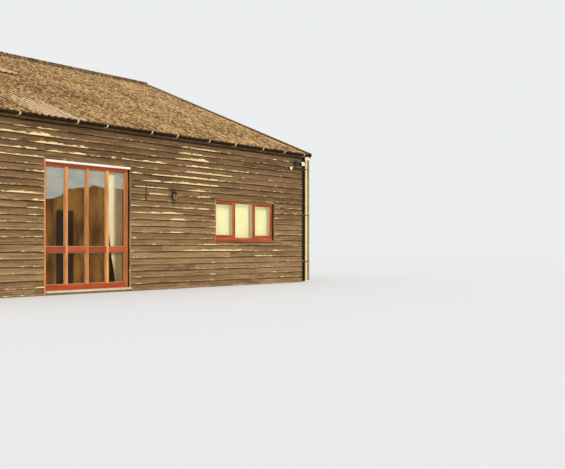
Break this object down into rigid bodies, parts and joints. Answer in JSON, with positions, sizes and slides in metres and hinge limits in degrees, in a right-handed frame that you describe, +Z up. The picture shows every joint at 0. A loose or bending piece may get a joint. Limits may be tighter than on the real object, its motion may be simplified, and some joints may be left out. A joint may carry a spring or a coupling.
{
  "type": "weatherboarded barn house",
  "caption": "Timber barn house with weatherboarded walls, a gable roof of corrugated sheets, a tall glazed screen and framed windows.",
  "frame": {"origin": "middle of the footprint, on the underside of the floor slab at ground level", "axes": "+X along the front to the right, +Y from the front to the back, +Z up; the front wall faces -Y"},
  "size_m": [17.276, 13.6956, 6.7043],
  "materials": {
    "concrete": "rough",
    "dark_boards": "weathered dark stain",
    "black_stain": "worn black stain",
    "roof_timber": "sawn",
    "fibre_cement": "rough, with lichen",
    "verge_brown": "matt",
    "gutter_black": "satin",
    "bracket_pale": "dull",
    "pipe_cream": "satin",
    "pipe_grey": "satin",
    "collar_white": "satin",
    "red_timber": "satin stain",
    "clear_glass": "clear",
    "white_strip": "satin",
    "pale_stone": "rough",
    "curtain_cloth": "matt",
    "blind_cloth": "matt",
    "black_iron": "matt",
    "lamp_grey": "satin",
    "lamp_white": "satin"
  },
  "bodies": {
    "root": {"floor_slab": "concrete", "front_wall": "dark_boards", "back_wall": "dark_boards", "left_gable_wall": "dark_boards", "right_gable_wall": "dark_boards", "corner_boards": "black_stain", "eaves_plates": "roof_timber", "tie_beams": "roof_timber", "king_posts": "roof_timber", "principal_rafters": "roof_timber", "struts": "roof_timber", "front_purlins": "roof_timber", "back_purlins": "roof_timber", "ridge_purlin": "roof_timber", "front_eaves_sheets": "fibre_cement", "front_middle_sheets": "fibre_cement", "front_ridge_sheets": "fibre_cement", "back_eaves_sheets": "fibre_cement", "back_middle_sheets": "fibre_cement", "back_ridge_sheets": "fibre_cement", "ridge_capping": "fibre_cement", "bargeboards": "black_stain", "verge_cappings": "verge_brown", "fascia_boards": "black_stain", "gutters": "gutter_black", "gutter_brackets": "bracket_pale", "cream_downpipes": "pipe_cream", "grey_downpipe": "pipe_grey", "pipe_collars": "collar_white", "pipe_clips": "pipe_grey", "screen_frames": "red_timber", "screen_glass": "clear_glass", "screen_head_strips": "white_strip", "screen_thresholds": "pale_stone", "screen_curtain": "curtain_cloth", "window_frames": "red_timber", "window_casements": "red_timber", "window_glass": "clear_glass", "window_sills": "red_timber", "window_blinds": "blind_cloth", "wall_lantern": "black_iron", "wall_thermometer": "black_stain", "security_lights": "lamp_grey", "sensor_lamp": "lamp_white"}
  },
  "joints": []
}
